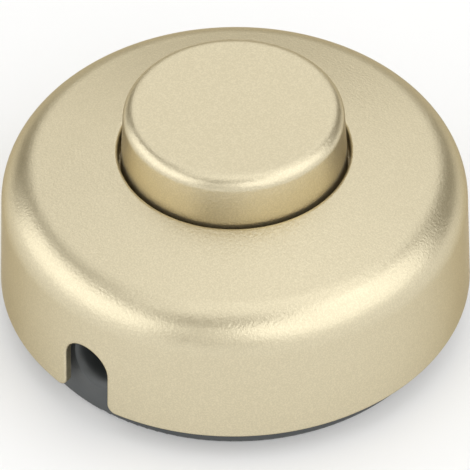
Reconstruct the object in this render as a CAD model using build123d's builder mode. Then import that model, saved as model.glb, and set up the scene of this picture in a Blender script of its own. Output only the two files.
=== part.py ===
from build123d import *
import os
from math import cos, radians, sin, tan

os.makedirs("parts", exist_ok=True)

# A round in-line foot switch for a lamp cord, which stands on the floor and changes over at each press.
# The origin is on the floor at the centre of the round housing, and +Z is up.
# The cord line runs along Y: the inlet faces -Y and the outlet faces +Y.

# Cover shell
cover_radius = 31.0  # at the rim
cover_draft = 2.45  # degrees that the side leans inward
cover_height = 21.85  # from the rim to the edge of the button hole
cover_wall = 1.2
roof_thickness = 1.5
roof_slope = 13.7  # degrees
shoulder_radius = 6.2
hole_radius = 15.05
hole_lip_radius = 0.4
rim_edge_radius = 0.3
collar_thickness = 1.4
collar_depth = 2.9  # from the edge of the button hole down
centring_rib_width = 1.4
centring_rib_count = 6
centring_clearance = 0.15
notch_half_width = 3.45
notch_arch_rise = 5.8  # from the rim to the centre of the arch
notch_flare_radius = 1.3

# Base and feet
foot_proud = 0.6
foot_radius = 4.0
foot_recess = 1.0
foot_inset = 9.7  # from the side of the base to the centre of a foot
foot_count = 4
foot_fit = 0.05
base_side_gap = 1.1  # between the base and the cover at the rim
rim_lift = 3.4  # from the underside of the base to the rim of the cover
base_wall = 1.6
base_height = 15.0
base_edge_radius = 0.5
floor_thickness = 2.0

# Cord ports and cord clamps
port_bore_radius = 3.0
port_flare = 1.1
port_flare_depth = 1.3
port_height = 8.4  # from the underside of the base to the cord line
port_length = 5.7
port_boss_wall = 1.8
cord_groove_radius = 3.2
clamp_setback = 1.8  # from the port boss to the bar
clamp_post_spacing = 14.0
clamp_post_radius = 2.3
clamp_post_height = 8.8
clamp_bar_width = 4.4
clamp_bar_thickness = 2.0
clamp_rib_width = 1.2
clamp_rib_length = 5.0
clamp_rib_depth = 0.8
saddle_width = 8.4
saddle_height = 4.4

# Button
button_rise = 7.05  # from the edge of the button hole to the top of the button
button_gap = 0.45
button_draft = 3.2  # degrees
button_edge_radius = 1.9
button_wall = 1.5
button_top_thickness = 1.6
flange_overlap = 1.6  # how far the flange reaches out past the hole
flange_thickness = 1.5
flange_gap = 0.1
button_travel = 3.5
socket_wall = 2.7
socket_depth = 4.1
socket_fit = 0.1

# Ratchet drive
press_angle = 45.0  # degrees
tooth_count = 4
ramp_angle = 60.0  # degrees
tooth_start_angle = 18.0  # degrees, where a plunger tooth begins over its ramp
ramp_foot = 2.5
ramp_gap = 0.15
section_angle = 12.0  # degrees between the sections of a ramp
rotor_radius = 8.0
rotor_clearance = 0.6
rotor_disc_thickness = 2.0
rotor_headroom = 0.45
hub_radius = 3.0
hub_height = 4.6
hub_foot_radius = 2.6
thrust_gap = 0.1
running_clearance = 0.05
drive_inner_radius = 3.3
drive_outer_radius = 6.4
key_width = 1.6
key_proud = 0.9
key_overlap = 1.0  # how far a key is rooted in the plunger
key_run_out = 0.5
key_clearance = 0.2
guide_clearance = 0.08
detent_notch_radius = 1.0
detent_notch_offset = 0.2
pin_radius = 1.5
pin_embed = 1.0
pin_boss_radius = 2.5
pin_boss_height = 1.0
pin_end = 0.5
clip_radius = 2.8
clip_thickness = 0.5
press_fit_gap = 0.01

# Mechanism chamber and its cap
chamber_wall = 1.2
cap_thickness = 1.6
cap_screw_offset = 1.4  # from the outside of the chamber
cap_boss_radius = 2.2
cap_ear_radius = 2.4

# Return spring
spring_wire = 0.9
spring_side_gap = 0.6
spring_turn_count = 5.0

# Contacts
strip_thickness = 0.5
strip_width = 4.0
contact_radius = 1.4
contact_height = 0.4
contact_gap = 0.1
contact_circle_radius = 6.5
bridge_thickness = 0.4
bridge_width = 3.4
strip_channel_clearance = 0.15

# Detent spring
leaf_thickness = 0.3
leaf_height = 1.8
leaf_nose_gap = 0.12
leaf_post_offset = 1.5  # from the outside of the chamber
leaf_post_spacing = 9.2
leaf_post_size = 1.8
leaf_slit_clearance = 0.05
leaf_shoulder_half_width = 1.9
leaf_shoulder_offset = 0.1
leaf_window_half_width = 2.5

# Terminals
live_terminal_gap = 2.6  # from the chamber
neutral_terminal_gap = 0.9  # from the posts of the detent spring
terminal_width = 5.6
terminal_length = 7.0
neutral_terminal_length = 16.0
neutral_screw_spacing = 9.0
terminal_height = 7.0
wire_hole_radius = 1.6
wire_hole_height = 3.5
terminal_rib_thickness = 1.0
terminal_rib_height = 3.0
terminal_rib_gap = 0.2

# Screws
cover_boss_gap = 0.3  # from the wall of the base
cover_screw_angle = 45.0
cover_boss_radius = 3.8
cover_boss_height = 9.4
cover_post_radius = 3.0
cover_counterbore_radius = 2.8
cover_counterbore_depth = 6.0
cover_screw_radius = 1.45
cover_screw_head_radius = 2.55
cover_screw_head_height = 1.8
cover_screw_length = 11.0
clamp_screw_radius = 1.2
clamp_screw_head_radius = 2.2
clamp_screw_head_height = 1.6
clamp_screw_length = 8.0
cap_screw_radius = 0.95
cap_screw_head_radius = 1.8
cap_screw_head_height = 1.2
cap_screw_length = 6.0
terminal_screw_radius = 1.3
terminal_screw_head_radius = 2.1
terminal_screw_head_height = 1.5
terminal_screw_length = 3.4
screw_slot_share = 0.45  # slot depth as a share of the head's height
screw_slot_width_share = 0.32  # slot width as a share of the head's radius
thread_gap = 0.02
screw_hole_clearance = 0.25
screw_tip_room = 0.6

# Cuts run this far past the surface that they open
cut_margin = 1.0

# Heights of the main seats above the floor
base_z = foot_proud
floor_z = base_z + floor_thickness
base_top_z = base_z + base_height
rim_z = base_z + rim_lift
hole_z = rim_z + cover_height
port_z = base_z + port_height
notch_z = rim_z + notch_arch_rise
collar_z = hole_z - collar_depth
cover_joint_z = floor_z + cover_boss_height
button_top_z = hole_z + button_rise
ceiling_z = button_top_z - button_top_thickness
flange_top_z = collar_z - flange_gap
flange_z = flange_top_z - flange_thickness
strip_top_z = floor_z + strip_thickness
fixed_contact_top_z = strip_top_z + contact_height
bridge_contact_z = fixed_contact_top_z + contact_gap
bridge_z = bridge_contact_z + contact_height
disc_z = bridge_z + bridge_thickness
disc_top_z = disc_z + rotor_disc_thickness
pin_boss_top_z = floor_z + pin_boss_height
hub_foot_z = pin_boss_top_z + thrust_gap
hub_top_z = disc_top_z + hub_height
clip_z = hub_top_z + thrust_gap
pin_top_z = clip_z + clip_thickness + pin_end
ramp_z = disc_top_z + ramp_foot
rise_per_degree = button_travel / press_angle
ramp_top_z = ramp_z + ramp_angle * rise_per_degree
chamber_top_z = ramp_top_z + rotor_headroom
cap_top_z = chamber_top_z + cap_thickness
sleeve_z = ramp_top_z + button_travel + rotor_headroom
socket_z = ceiling_z - socket_depth
clamp_seat_z = floor_z + clamp_post_height
clamp_top_z = clamp_seat_z + clamp_bar_thickness
live_terminal_z = strip_top_z
live_terminal_top_z = live_terminal_z + terminal_height
neutral_terminal_top_z = floor_z + terminal_height

# Radii and distances that follow from the fits
base_radius = cover_radius - cover_wall - base_side_gap
button_radius = hole_radius - button_gap
button_inner_radius = button_radius - button_wall
flange_radius = hole_radius + flange_overlap
base_inner_radius = base_radius - base_wall
foot_circle_radius = base_radius - foot_inset
cover_screw_distance = base_inner_radius - cover_boss_radius - cover_boss_gap
chamber_radius = rotor_radius + rotor_clearance
chamber_outer_radius = chamber_radius + chamber_wall
cap_screw_distance = chamber_outer_radius + cap_screw_offset
leaf_post_distance = chamber_outer_radius + leaf_post_offset
leaf_shoulder_distance = chamber_outer_radius + leaf_shoulder_offset
live_terminal_distance = chamber_outer_radius + live_terminal_gap + terminal_width / 2
neutral_terminal_distance = leaf_post_distance + leaf_post_size / 2 + neutral_terminal_gap + terminal_width / 2
port_inner_y = base_radius - port_length
clamp_distance = port_inner_y - clamp_setback - clamp_bar_width / 2
socket_radius = drive_outer_radius + socket_fit
key_radius = drive_outer_radius + key_proud
spring_radius = key_radius + spring_side_gap + spring_wire / 2
tooth_middle = (tooth_start_angle + ramp_angle) / 2

# Places that more than one piece shares
cover_screw_x = cover_screw_distance * cos(radians(cover_screw_angle))
cover_screw_y = cover_screw_distance * sin(radians(cover_screw_angle))
cover_screw_places = [(-cover_screw_x, -cover_screw_y), (cover_screw_x, cover_screw_y)]
cap_screw_places = [(0, -cap_screw_distance), (0, cap_screw_distance)]
clamp_screw_places = [
    (x, y)
    for x in (-clamp_post_spacing / 2, clamp_post_spacing / 2)
    for y in (-clamp_distance, clamp_distance)
]
live_terminal_places = [(-live_terminal_distance, y) for y in (-contact_circle_radius, contact_circle_radius)]
neutral_terminal_place = (neutral_terminal_distance, 0)
neutral_screw_places = [
    (neutral_terminal_distance, y) for y in (-neutral_screw_spacing / 2, neutral_screw_spacing / 2)
]
fixed_contact_places = [(0, -contact_circle_radius), (0, contact_circle_radius)]
leaf_post_places = [(leaf_post_distance, y) for y in (-leaf_post_spacing / 2, leaf_post_spacing / 2)]
cord_line = Axis((0, 0, port_z), (0, 1, 0))


def shoulder_corner(wall, roof):
    """Radius and height where the side, moved in by wall, meets the roof, moved down by roof."""
    lean = tan(radians(cover_draft))
    slope = tan(radians(roof_slope))
    radius = (cover_radius - wall - lean * (hole_z - roof - rim_z + hole_radius * slope)) / (1 - lean * slope)
    return radius, hole_z - roof - (radius - hole_radius) * slope


def roof_height(radius, roof):
    """Height of the sloping roof at a radius, moved down by roof."""
    return hole_z - roof - (radius - hole_radius) * tan(radians(roof_slope))


def radial_plane(angle):
    """The upright plane through the axis at an angle, its x outward and its y up."""
    turn = radians(angle)
    return Plane(origin=(0, 0, 0), x_dir=(cos(turn), sin(turn), 0), z_dir=(sin(turn), -cos(turn), 0))


def helical_block(start, end, low_z, high_z):
    """A ring sector of the ratchet drive. low_z and high_z give its heights at an angle in degrees."""
    steps = max(1, round((end - start) / section_angle))
    middle = (drive_inner_radius + drive_outer_radius) / 2
    with BuildPart() as block:
        for step in range(steps + 1):
            angle = start + (end - start) * step / steps
            low, high = low_z(angle), high_z(angle)
            with BuildSketch(radial_plane(angle)):
                with Locations((middle, (low + high) / 2)):
                    Rectangle(drive_outer_radius - drive_inner_radius, high - low)
        loft(ruled=True)
    return block.part


def slotted_screw(radius, length, head_radius, head_height):
    """A screw that hangs down from the underside of its head at the origin, with a rounded, slotted head."""
    with BuildPart() as screw:
        with BuildSketch(Plane.XZ) as section:
            with BuildLine():
                Polyline(
                    (0, head_height),
                    (0, -length),
                    (radius / 2, -length),
                    (radius, -length + radius),
                    (radius, 0),
                    (head_radius, 0),
                    (head_radius, head_height),
                    close=True,
                )
            make_face()
            fillet(section.vertices().sort_by_distance((head_radius, head_height, 0))[0], head_height / 2)
        revolve(axis=Axis.Z)
        with BuildSketch(Plane.XY.offset(head_height)):
            Rectangle(3 * head_radius, head_radius * screw_slot_width_share)
        extrude(amount=-head_height * screw_slot_share, mode=Mode.SUBTRACT)
    return screw.part


def write(builder, name):
    """Name a finished piece and write it."""
    builder.part.label = name
    export_step(builder.part, f"parts/{name}.step")


# The hollow inside the cover, less the collar, the screw posts and the centring ribs that stand in it
inner_corner = shoulder_corner(cover_wall, roof_thickness)
rim_inner_radius = cover_radius - cover_wall
with BuildPart() as cover_hollow:
    with BuildSketch(Plane.XZ) as hollow_section:
        with BuildLine():
            Polyline(
                (0, rim_z),
                (rim_inner_radius, rim_z),
                inner_corner,
                (hole_radius, roof_height(hole_radius, roof_thickness)),
                (0, roof_height(hole_radius, roof_thickness)),
                close=True,
            )
        make_face()
        corner_vertex = hollow_section.vertices().sort_by_distance((*inner_corner, 0))[0]
        fillet(corner_vertex, shoulder_radius - cover_wall)
    revolve(axis=Axis.Z)
    with BuildSketch(Plane.XY.offset(collar_z)):
        Circle(hole_radius + collar_thickness)
    extrude(amount=cover_height, mode=Mode.SUBTRACT)
    with BuildSketch(Plane.XY.offset(cover_joint_z)):
        with Locations(*cover_screw_places):
            Circle(cover_post_radius)
    extrude(amount=cover_height, mode=Mode.SUBTRACT)
    rib_reach = cover_radius - base_radius - centring_clearance
    with BuildSketch(Plane.XY.offset(rim_z)):
        with PolarLocations(cover_radius - rib_reach / 2, centring_rib_count):
            Rectangle(rib_reach, centring_rib_width)
    extrude(amount=base_top_z - rim_z, mode=Mode.SUBTRACT)

with BuildPart() as cover:
    outer_corner = shoulder_corner(0, 0)
    with BuildSketch(Plane.XZ) as cover_section:
        with BuildLine():
            Polyline(
                (0, rim_z),
                (cover_radius, rim_z),
                outer_corner,
                (hole_radius, hole_z),
                (hole_radius, rim_z + cover_height / 2),
                (0, rim_z + cover_height / 2),
                close=True,
            )
        make_face()
        fillet(cover_section.vertices().sort_by_distance((*outer_corner, 0))[0], shoulder_radius)
        fillet(cover_section.vertices().sort_by_distance((hole_radius, hole_z, 0))[0], hole_lip_radius)
        fillet(cover_section.vertices().sort_by_distance((cover_radius, rim_z, 0))[0], rim_edge_radius)
    revolve(axis=Axis.Z)
    add(cover_hollow.part, mode=Mode.SUBTRACT)
    with BuildSketch(Plane.XZ) as notch:
        flare_edge = notch_half_width + notch_flare_radius
        with BuildLine():
            Polyline((0, base_z), (flare_edge, base_z), (flare_edge, rim_z))
            RadiusArc(
                (flare_edge, rim_z), (notch_half_width, rim_z + notch_flare_radius), notch_flare_radius
            )
            Line((notch_half_width, rim_z + notch_flare_radius), (notch_half_width, notch_z))
            CenterArc((0, notch_z), notch_half_width, 0, 90)
            Line((0, notch_z + notch_half_width), (0, base_z))
        make_face()
        mirror(about=Plane.YZ)
    extrude(amount=cover_radius + cut_margin, both=True, mode=Mode.SUBTRACT)
    screw_reach = cover_screw_length - (cover_boss_height + floor_thickness - cover_counterbore_depth)
    with Locations(*[(x, y, cover_joint_z) for x, y in cover_screw_places]):
        Cylinder(
            cover_screw_radius + thread_gap,
            screw_reach + screw_tip_room,
            align=(Align.CENTER, Align.CENTER, Align.MIN),
            mode=Mode.SUBTRACT,
        )
write(cover, "cover")

with BuildPart() as button:
    neck_radius = button_radius - button_rise * tan(radians(button_draft))
    with BuildSketch(Plane.XZ) as button_section:
        with BuildLine():
            Polyline(
                (0, button_top_z),
                (neck_radius, button_top_z),
                (button_radius, hole_z),
                (button_radius, flange_top_z),
                (flange_radius, flange_top_z),
                (flange_radius, flange_z),
                (button_inner_radius, flange_z),
                (button_inner_radius, ceiling_z),
                (0, ceiling_z),
                close=True,
            )
        make_face()
        top_vertex = button_section.vertices().sort_by_distance((neck_radius, button_top_z, 0))[0]
        fillet(top_vertex, button_edge_radius)
        fillet(
            button_section.vertices().sort_by_distance((button_inner_radius, ceiling_z, 0))[0],
            max(0.2, button_edge_radius - button_wall),
        )
    revolve(axis=Axis.Z)
    with BuildSketch(Plane.XY.offset(socket_z)):
        Circle(socket_radius + socket_wall)
        Circle(socket_radius, mode=Mode.SUBTRACT)
    extrude(amount=socket_depth)
write(button, "button")

with BuildPart() as base:
    with BuildSketch(Plane.XZ) as base_section:
        with BuildLine():
            Polyline(
                (0, base_z),
                (base_radius, base_z),
                (base_radius, base_top_z),
                (base_inner_radius, base_top_z),
                (base_inner_radius, floor_z),
                (0, floor_z),
                close=True,
            )
        make_face()
        fillet(base_section.vertices().sort_by_distance((base_radius, base_z, 0))[0], base_edge_radius)
    revolve(axis=Axis.Z)
    # Chamber wall and the boss of the pivot pin
    with BuildSketch(Plane.XY.offset(floor_z)):
        Circle(chamber_outer_radius)
        Circle(chamber_radius, mode=Mode.SUBTRACT)
    extrude(amount=chamber_top_z - floor_z)
    with BuildSketch(Plane.XY.offset(floor_z)):
        Circle(pin_boss_radius)
    extrude(amount=pin_boss_height)
    # Bosses for the cap, the cover and the clamps
    with BuildSketch(Plane.XY.offset(floor_z)):
        with Locations(*cap_screw_places):
            Circle(cap_boss_radius)
    extrude(amount=chamber_top_z - floor_z)
    with BuildSketch(Plane.XY.offset(floor_z)):
        with Locations(*cover_screw_places):
            Circle(cover_boss_radius)
    extrude(amount=cover_boss_height)
    with BuildSketch(Plane.XY.offset(floor_z)):
        with Locations(*clamp_screw_places):
            Circle(clamp_post_radius)
    extrude(amount=clamp_post_height)
    # Bosses of the cord ports, and the saddles under the cord
    port_boss_length = base_inner_radius + base_wall / 4 - port_inner_y
    port_boss_half_width = port_bore_radius + port_boss_wall
    with BuildSketch(Plane.XY.offset(floor_z)):
        with Locations(*[(0, side * (port_inner_y + port_boss_length / 2)) for side in (-1, 1)]):
            Rectangle(2 * port_boss_half_width, port_boss_length)
    extrude(amount=port_z + port_boss_half_width - floor_z)
    with BuildSketch(Plane.XY.offset(floor_z)):
        with Locations((0, -clamp_distance), (0, clamp_distance)):
            Rectangle(saddle_width, clamp_bar_width)
    extrude(amount=saddle_height)
    # Ribs that hold the ends of each terminal
    rib_middle = terminal_rib_gap + terminal_rib_thickness / 2
    live_rib_places = [
        (x, y + side * (terminal_length / 2 + rib_middle))
        for x, y in live_terminal_places
        for side in (-1, 1)
    ]
    neutral_rib_places = [
        (neutral_terminal_distance, side * (neutral_terminal_length / 2 + rib_middle)) for side in (-1, 1)
    ]
    with BuildSketch(Plane.XY.offset(floor_z)):
        with Locations(*live_rib_places, *neutral_rib_places):
            Rectangle(terminal_width, terminal_rib_thickness)
    extrude(amount=terminal_rib_height)
    # Posts of the detent spring, with a slit for each end of it
    leaf_z = disc_z + (rotor_disc_thickness - leaf_height) / 2
    with BuildSketch(Plane.XY.offset(floor_z)):
        with Locations(*leaf_post_places):
            Rectangle(leaf_post_size, leaf_post_size)
    extrude(amount=disc_top_z - floor_z)
    with BuildSketch(Plane.XY.offset(leaf_z)):
        with Locations((leaf_post_distance, 0)):
            Rectangle(leaf_thickness + 2 * leaf_slit_clearance, leaf_post_spacing + 2 * leaf_post_size)
    extrude(amount=disc_top_z - leaf_z, mode=Mode.SUBTRACT)
    with BuildSketch(Plane.XY.offset(leaf_z)):
        with Locations(((chamber_radius + chamber_outer_radius) / 2, 0)):
            Rectangle(2 * chamber_wall, 2 * leaf_window_half_width)
    extrude(amount=disc_top_z - leaf_z, mode=Mode.SUBTRACT)
    # Channels of the contact strips through the chamber wall
    channel_end = live_terminal_distance + terminal_width / 2
    with BuildSketch(Plane.XY.offset(floor_z)):
        with Locations(*[(-channel_end / 2, y) for x, y in fixed_contact_places]):
            Rectangle(channel_end, strip_width + 2 * strip_channel_clearance)
    extrude(amount=strip_thickness + strip_channel_clearance, mode=Mode.SUBTRACT)
    # Cord ports with a rounded mouth, and the grooves in the saddles
    with BuildSketch(Plane.YZ):
        bore_top = port_z + port_bore_radius
        mouth_top = bore_top + port_flare
        with BuildLine():
            Polyline(
                (base_radius, mouth_top),
                (base_radius + cut_margin, mouth_top),
                (base_radius + cut_margin, port_z),
                (port_inner_y - cut_margin, port_z),
                (port_inner_y - cut_margin, bore_top),
                (base_radius - port_flare_depth, bore_top),
            )
            TangentArc(
                (base_radius - port_flare_depth, bore_top), (base_radius, mouth_top), tangent=(1, 0)
            )
        make_face()
        mirror(about=Plane.YZ)
    revolve(axis=cord_line, mode=Mode.SUBTRACT)
    with Locations((0, -clamp_distance, port_z), (0, clamp_distance, port_z)):
        Cylinder(cord_groove_radius, clamp_bar_width, rotation=(90, 0, 0), mode=Mode.SUBTRACT)
    # Screw holes, the pin's hole and the recesses of the feet
    with Locations(*[(x, y, chamber_top_z) for x, y in cap_screw_places]):
        Cylinder(
            cap_screw_radius + thread_gap,
            2 * (cap_screw_length - cap_thickness + screw_tip_room),
            mode=Mode.SUBTRACT,
        )
    with Locations(*[(x, y, clamp_seat_z) for x, y in clamp_screw_places]):
        Cylinder(
            clamp_screw_radius + thread_gap,
            2 * (clamp_screw_length - clamp_bar_thickness + screw_tip_room),
            mode=Mode.SUBTRACT,
        )
    with BuildSketch(Plane.XY.offset(base_z)):
        with Locations(*cover_screw_places):
            Circle(cover_screw_radius + screw_hole_clearance)
    extrude(amount=cover_joint_z - base_z, mode=Mode.SUBTRACT)
    with BuildSketch(Plane.XY.offset(base_z)):
        with Locations(*cover_screw_places):
            Circle(cover_counterbore_radius)
    extrude(amount=cover_counterbore_depth, mode=Mode.SUBTRACT)
    with BuildSketch(Plane.XY.offset(floor_z - pin_embed)):
        Circle(pin_radius + press_fit_gap)
    extrude(amount=pin_embed + pin_boss_height, mode=Mode.SUBTRACT)
    with BuildSketch(Plane.XY.offset(base_z)):
        with PolarLocations(foot_circle_radius, foot_count):
            Circle(foot_radius + foot_fit)
    extrude(amount=foot_recess, mode=Mode.SUBTRACT)
write(base, "base")

with BuildPart() as rubber_feet:
    with BuildSketch():
        with PolarLocations(foot_circle_radius, foot_count):
            Circle(foot_radius)
    extrude(amount=foot_proud + foot_recess)
    chamfer(rubber_feet.edges().group_by(Axis.Z)[0], foot_proud / 3)
write(rubber_feet, "rubber_feet")

with BuildPart() as pivot_pin:
    with BuildSketch(Plane.XY.offset(floor_z - pin_embed)):
        Circle(pin_radius)
    extrude(amount=pin_top_z - floor_z + pin_embed)
    chamfer(pivot_pin.edges().group_by(Axis.Z)[-1], pin_end / 2)
write(pivot_pin, "pivot_pin")

with BuildPart() as pivot_clip:
    with BuildSketch(Plane.XY.offset(clip_z)):
        Circle(clip_radius)
        Circle(pin_radius + press_fit_gap, mode=Mode.SUBTRACT)
    extrude(amount=clip_thickness)
write(pivot_clip, "pivot_clip")

with BuildPart() as rotor:
    with BuildSketch(Plane.XY.offset(hub_foot_z)):
        Circle(hub_foot_radius)
    extrude(amount=disc_z - hub_foot_z)
    with BuildSketch(Plane.XY.offset(disc_z)):
        Circle(rotor_radius)
        with PolarLocations(rotor_radius + detent_notch_offset, round(360 / press_angle)):
            Circle(detent_notch_radius, mode=Mode.SUBTRACT)
    extrude(amount=rotor_disc_thickness)
    with BuildSketch(Plane.XY.offset(disc_top_z)):
        Circle(hub_radius)
    extrude(amount=hub_height)
    ramp = helical_block(
        0,
        ramp_angle,
        lambda angle: disc_top_z - rotor_disc_thickness / 2,
        lambda angle: ramp_z + angle * rise_per_degree,
    )
    with PolarLocations(0, tooth_count):
        add(ramp)
    with BuildSketch(Plane.XY.offset(hub_foot_z)):
        Circle(pin_radius + running_clearance)
    extrude(amount=hub_top_z - hub_foot_z, mode=Mode.SUBTRACT)
write(rotor, "rotor")

with BuildPart() as plunger:
    with BuildSketch(Plane.XY.offset(sleeve_z)):
        Circle(drive_outer_radius)
        Circle(drive_inner_radius, mode=Mode.SUBTRACT)
    extrude(amount=ceiling_z - sleeve_z)
    tooth = helical_block(
        tooth_start_angle,
        ramp_angle,
        lambda angle: ramp_z + angle * rise_per_degree + ramp_gap,
        lambda angle: sleeve_z + socket_fit,
    )
    with PolarLocations(0, tooth_count):
        add(tooth)
    with BuildSketch(Plane.XY.offset(chamber_top_z)):
        with PolarLocations(key_radius - (key_proud + key_overlap) / 2, 2, tooth_middle):
            Rectangle(key_proud + key_overlap, key_width)
    extrude(amount=cap_thickness + button_travel + key_run_out)
write(plunger, "plunger")

with BuildPart() as mechanism_cap:
    with BuildSketch(Plane.XY.offset(chamber_top_z)):
        Circle(chamber_outer_radius)
        with Locations(*cap_screw_places):
            Circle(cap_ear_radius)
        Rectangle(cap_ear_radius * 2, cap_screw_distance * 2)
        Circle(drive_outer_radius + guide_clearance, mode=Mode.SUBTRACT)
        keyway_reach = key_radius + key_clearance
        with PolarLocations(keyway_reach / 2, 2, tooth_middle):
            Rectangle(keyway_reach, key_width + 2 * key_clearance, mode=Mode.SUBTRACT)
        with Locations(*cap_screw_places):
            Circle(cap_screw_radius + screw_hole_clearance, mode=Mode.SUBTRACT)
    extrude(amount=cap_thickness)
write(mechanism_cap, "mechanism_cap")

with BuildPart() as mechanism_screws:
    with Locations(*[(x, y, cap_top_z) for x, y in cap_screw_places]):
        add(slotted_screw(cap_screw_radius, cap_screw_length, cap_screw_head_radius, cap_screw_head_height))
write(mechanism_screws, "mechanism_screws")

with BuildPart() as return_spring:
    coil_height = socket_z - cap_top_z - spring_wire / 2
    with BuildLine(Plane.XY.offset(cap_top_z + spring_wire / 4)) as coil:
        Helix(pitch=coil_height / spring_turn_count, height=coil_height, radius=spring_radius)
    with BuildSketch(Plane(origin=coil.line @ 0, z_dir=coil.line % 0)):
        Circle(spring_wire / 2)
    sweep(path=coil.line, is_frenet=True)
    # Both ends are ground flat
    split(bisect_by=Plane.XY.offset(cap_top_z), keep=Keep.TOP)
    split(bisect_by=Plane.XY.offset(socket_z), keep=Keep.BOTTOM)
write(return_spring, "return_spring")

with BuildPart() as contact_bridge:
    with BuildSketch(Plane.XY.offset(bridge_z)):
        with Locations(Location((0, 0), press_angle)):
            SlotOverall(2 * (contact_circle_radius + contact_radius), bridge_width)
        Circle(hub_foot_radius + bridge_width / 4)
        Circle(hub_foot_radius + press_fit_gap, mode=Mode.SUBTRACT)
    extrude(amount=bridge_thickness)
write(contact_bridge, "contact_bridge")

with BuildPart() as bridge_contacts:
    with BuildSketch(Plane.XY.offset(bridge_contact_z)):
        with PolarLocations(contact_circle_radius, 2, press_angle):
            Circle(contact_radius)
    extrude(amount=contact_height)
    chamfer(bridge_contacts.edges().group_by(Axis.Z)[0], contact_height / 3)
write(bridge_contacts, "bridge_contacts")

with BuildPart() as fixed_contacts:
    with BuildSketch(Plane.XY.offset(strip_top_z)):
        with Locations(*fixed_contact_places):
            Circle(contact_radius)
    extrude(amount=contact_height)
    chamfer(fixed_contacts.edges().group_by(Axis.Z)[-1], contact_height / 3)
write(fixed_contacts, "fixed_contacts")


def contact_strip(y):
    """A strip on the floor of the base, from under a live terminal to its contact in the chamber."""
    with BuildPart() as strip:
        with BuildSketch(Plane.XY.offset(floor_z)):
            with Locations((0, y)):
                Circle(strip_width / 2)
            with Locations((-channel_end / 2, y)):
                Rectangle(channel_end, strip_width)
        extrude(amount=strip_thickness)
    return strip


def terminal_block(x, y, bottom_z, length, screw_ys):
    """A brass block with one wire hole along Y and a screw hole at each of screw_ys."""
    with BuildPart() as block:
        with BuildSketch(Plane.XY.offset(bottom_z)):
            with Locations((x, y)):
                Rectangle(terminal_width, length)
        extrude(amount=terminal_height)
        chamfer(block.edges().filter_by(Axis.Z), terminal_width / 16)
        with Locations((x, y, bottom_z + wire_hole_height)):
            Cylinder(wire_hole_radius, length, rotation=(90, 0, 0), mode=Mode.SUBTRACT)
        with Locations(*[(x, screw_y, bottom_z + terminal_height) for screw_y in screw_ys]):
            Cylinder(
                terminal_screw_radius + thread_gap,
                2 * (terminal_height - wire_hole_height),
                mode=Mode.SUBTRACT,
            )
    return block


for side, (x, y) in zip(("in", "out"), live_terminal_places):
    write(contact_strip(y), f"live_{side}_strip")
    write(terminal_block(x, y, live_terminal_z, terminal_length, [y]), f"live_{side}_terminal")
neutral_block = terminal_block(
    *neutral_terminal_place, floor_z, neutral_terminal_length, [y for x, y in neutral_screw_places]
)
write(neutral_block, "neutral_terminal")

with BuildPart() as terminal_screws:
    live_heads = [(x, y, live_terminal_top_z) for x, y in live_terminal_places]
    neutral_heads = [(x, y, neutral_terminal_top_z) for x, y in neutral_screw_places]
    with Locations(*live_heads, *neutral_heads):
        add(
            slotted_screw(
                terminal_screw_radius,
                terminal_screw_length,
                terminal_screw_head_radius,
                terminal_screw_head_height,
            )
        )
write(terminal_screws, "terminal_screws")

with BuildPart() as detent_spring:
    nose_x = rotor_radius + detent_notch_offset - detent_notch_radius + leaf_nose_gap + leaf_thickness
    leaf_end_y = leaf_post_spacing / 2 + leaf_post_size / 2
    with BuildSketch(Plane.XY.offset(leaf_z)):
        with BuildLine():
            Polyline(
                (leaf_post_distance, -leaf_end_y),
                (leaf_post_distance, -leaf_post_spacing / 2 + leaf_post_size / 2),
                (leaf_shoulder_distance, -leaf_shoulder_half_width),
                (nose_x, 0),
                (leaf_shoulder_distance, leaf_shoulder_half_width),
                (leaf_post_distance, leaf_post_spacing / 2 - leaf_post_size / 2),
                (leaf_post_distance, leaf_end_y),
            )
        trace(line_width=leaf_thickness)
    extrude(amount=leaf_height)
write(detent_spring, "detent_spring")


def clamp_bar(y):
    """A bar that two screws pull down onto the cord, with a rib across its underside."""
    with BuildPart() as bar:
        with BuildSketch(Plane.XY.offset(clamp_seat_z)):
            with Locations((0, y)):
                SlotCenterToCenter(clamp_post_spacing, clamp_bar_width)
            with Locations(*[place for place in clamp_screw_places if place[1] == y]):
                Circle(clamp_screw_radius + screw_hole_clearance, mode=Mode.SUBTRACT)
        extrude(amount=clamp_bar_thickness)
        with BuildSketch(Plane.XY.offset(clamp_seat_z - clamp_rib_depth)):
            with Locations((0, y)):
                Rectangle(clamp_rib_length, clamp_rib_width)
        extrude(amount=clamp_rib_depth)
    return bar


for side, y in (("in", -clamp_distance), ("out", clamp_distance)):
    write(clamp_bar(y), f"cord_clamp_{side}")

with BuildPart() as clamp_screws:
    with Locations(*[(x, y, clamp_top_z) for x, y in clamp_screw_places]):
        add(
            slotted_screw(
                clamp_screw_radius,
                clamp_screw_length,
                clamp_screw_head_radius,
                clamp_screw_head_height,
            )
        )
write(clamp_screws, "clamp_screws")

with BuildPart() as cover_screws:
    head_seat_z = base_z + cover_counterbore_depth
    with Locations(*[Location((x, y, head_seat_z), (180, 0, 0)) for x, y in cover_screw_places]):
        add(
            slotted_screw(
                cover_screw_radius, cover_screw_length, cover_screw_head_radius, cover_screw_head_height
            )
        )
write(cover_screws, "cover_screws")
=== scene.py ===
"""Looks of a round in-line foot switch for a lamp cord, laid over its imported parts.

Lengths are in metres and +Z is up. The origin is on the floor at the centre of the round housing,
the cord inlet faces -Y and the outlet faces +Y.
"""
import math

import bmesh
import bpy
import numpy as np
from mathutils import Matrix, Vector


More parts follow.
